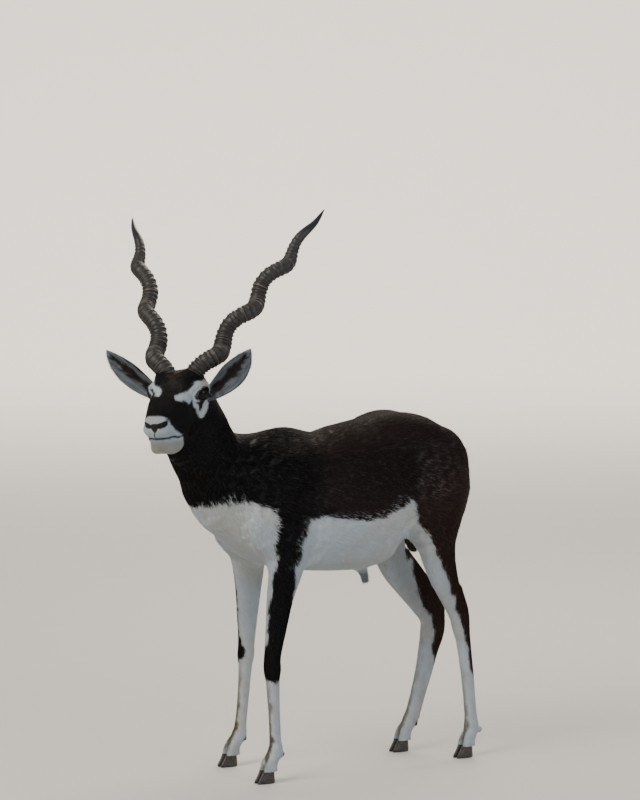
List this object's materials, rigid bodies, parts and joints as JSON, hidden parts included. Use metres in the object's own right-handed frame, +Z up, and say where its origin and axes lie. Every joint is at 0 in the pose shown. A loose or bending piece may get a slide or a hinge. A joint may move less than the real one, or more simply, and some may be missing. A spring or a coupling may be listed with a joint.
{
  "type": "blackbuck",
  "caption": "A male blackbuck antelope standing alert, with ringed corkscrew horns, modelled whole and life-size.",
  "frame": {"origin": "On the floor, under the middle of the animal's box", "axes": "+Z up, -Y the way the body faces, +X the animal's left"},
  "size_m": [0.5604, 0.9766, 1.3184],
  "materials": {
    "coat": "short sleek hair, black to dark brown above and white below",
    "horn": "dry ringed keratin",
    "claw": "smooth dark keratin",
    "eye": "wet, dark and glossy"
  },
  "bodies": {
    "root": {"head": "coat", "neck": "coat", "torso": "coat", "tail": "coat", "foreleg_left": "coat", "foreleg_right": "coat", "hindleg_left": "coat", "hindleg_right": "coat", "ear_left": "coat", "ear_right": "coat", "horn_left": "horn", "horn_right": "horn", "eye_left": "eye", "eye_right": "eye", "claw_fore_left_outer": "claw", "claw_fore_left_inner": "claw", "claw_fore_right_outer": "claw", "claw_fore_right_inner": "claw", "claw_hind_left_outer": "claw", "claw_hind_left_inner": "claw", "claw_hind_right_outer": "claw", "claw_hind_right_inner": "claw"}
  },
  "joints": []
}
